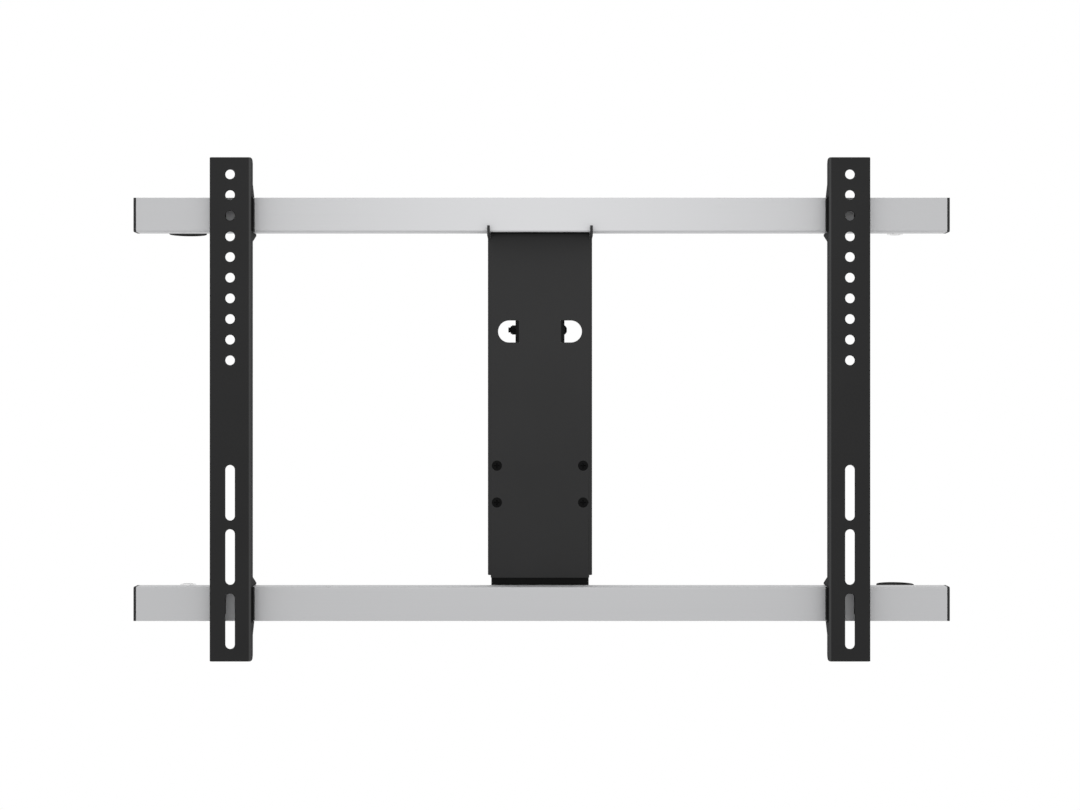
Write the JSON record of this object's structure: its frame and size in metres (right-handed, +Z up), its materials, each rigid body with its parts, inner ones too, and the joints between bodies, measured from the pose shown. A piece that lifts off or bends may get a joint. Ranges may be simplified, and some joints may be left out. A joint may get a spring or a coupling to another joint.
{
  "type": "tv mount",
  "caption": "Flat screen mount: slotted strips on horizontal aluminium rails, held by a folded steel column that hangs on a bar behind it.",
  "frame": {"origin": "middle of the hanging bar's sleeve, on its axis", "axes": "+X along the rails to the right as seen from the screen's side, +Y back, away from the screen, +Z up"},
  "size_m": [0.797, 0.0721, 0.488],
  "materials": {
    "black_powder_coat": "fine satin black powder coat",
    "anodised_rail": "satin silver anodised",
    "cap_plastic": "moulded dark grey",
    "black_fastener": "black oxide",
    "zinc_fastener": "bright zinc plate",
    "buffer_rubber": "moulded black rubber",
    "bright_post": "bright turned aluminium"
  },
  "bodies": {
    "root": {"left_tv_strip": "black_powder_coat", "right_tv_strip": "black_powder_coat", "strip_screws": "zinc_fastener", "top_rail": "anodised_rail", "bottom_rail": "anodised_rail", "top_rail_left_cap": "cap_plastic", "top_rail_right_cap": "cap_plastic", "bottom_rail_left_cap": "cap_plastic", "bottom_rail_right_cap": "cap_plastic", "column": "black_powder_coat", "column_screws": "black_fastener", "lower_bracket": "black_powder_coat", "clinch_nuts": "zinc_fastener", "hanging_bar_bolt": "black_fastener", "hanging_bar_sleeve": "zinc_fastener", "hanging_bar_nut": "black_fastener", "top_rail_screws": "zinc_fastener", "top_rail_slot_nuts": "zinc_fastener", "bottom_rail_screws": "zinc_fastener", "bottom_rail_slot_nuts": "zinc_fastener", "bottom_rail_spacers": "black_powder_coat", "top_left_buffer_angle": "black_powder_coat", "top_right_post_angle": "black_powder_coat", "bottom_right_buffer_angle": "black_powder_coat", "bottom_left_post_angle": "black_powder_coat", "top_left_buffer": "buffer_rubber", "bottom_right_buffer": "buffer_rubber", "top_right_post": "bright_post", "bottom_left_post": "bright_post", "buffer_screws": "zinc_fastener", "angle_screws": "zinc_fastener", "angle_slot_nuts": "zinc_fastener"}
  },
  "joints": []
}
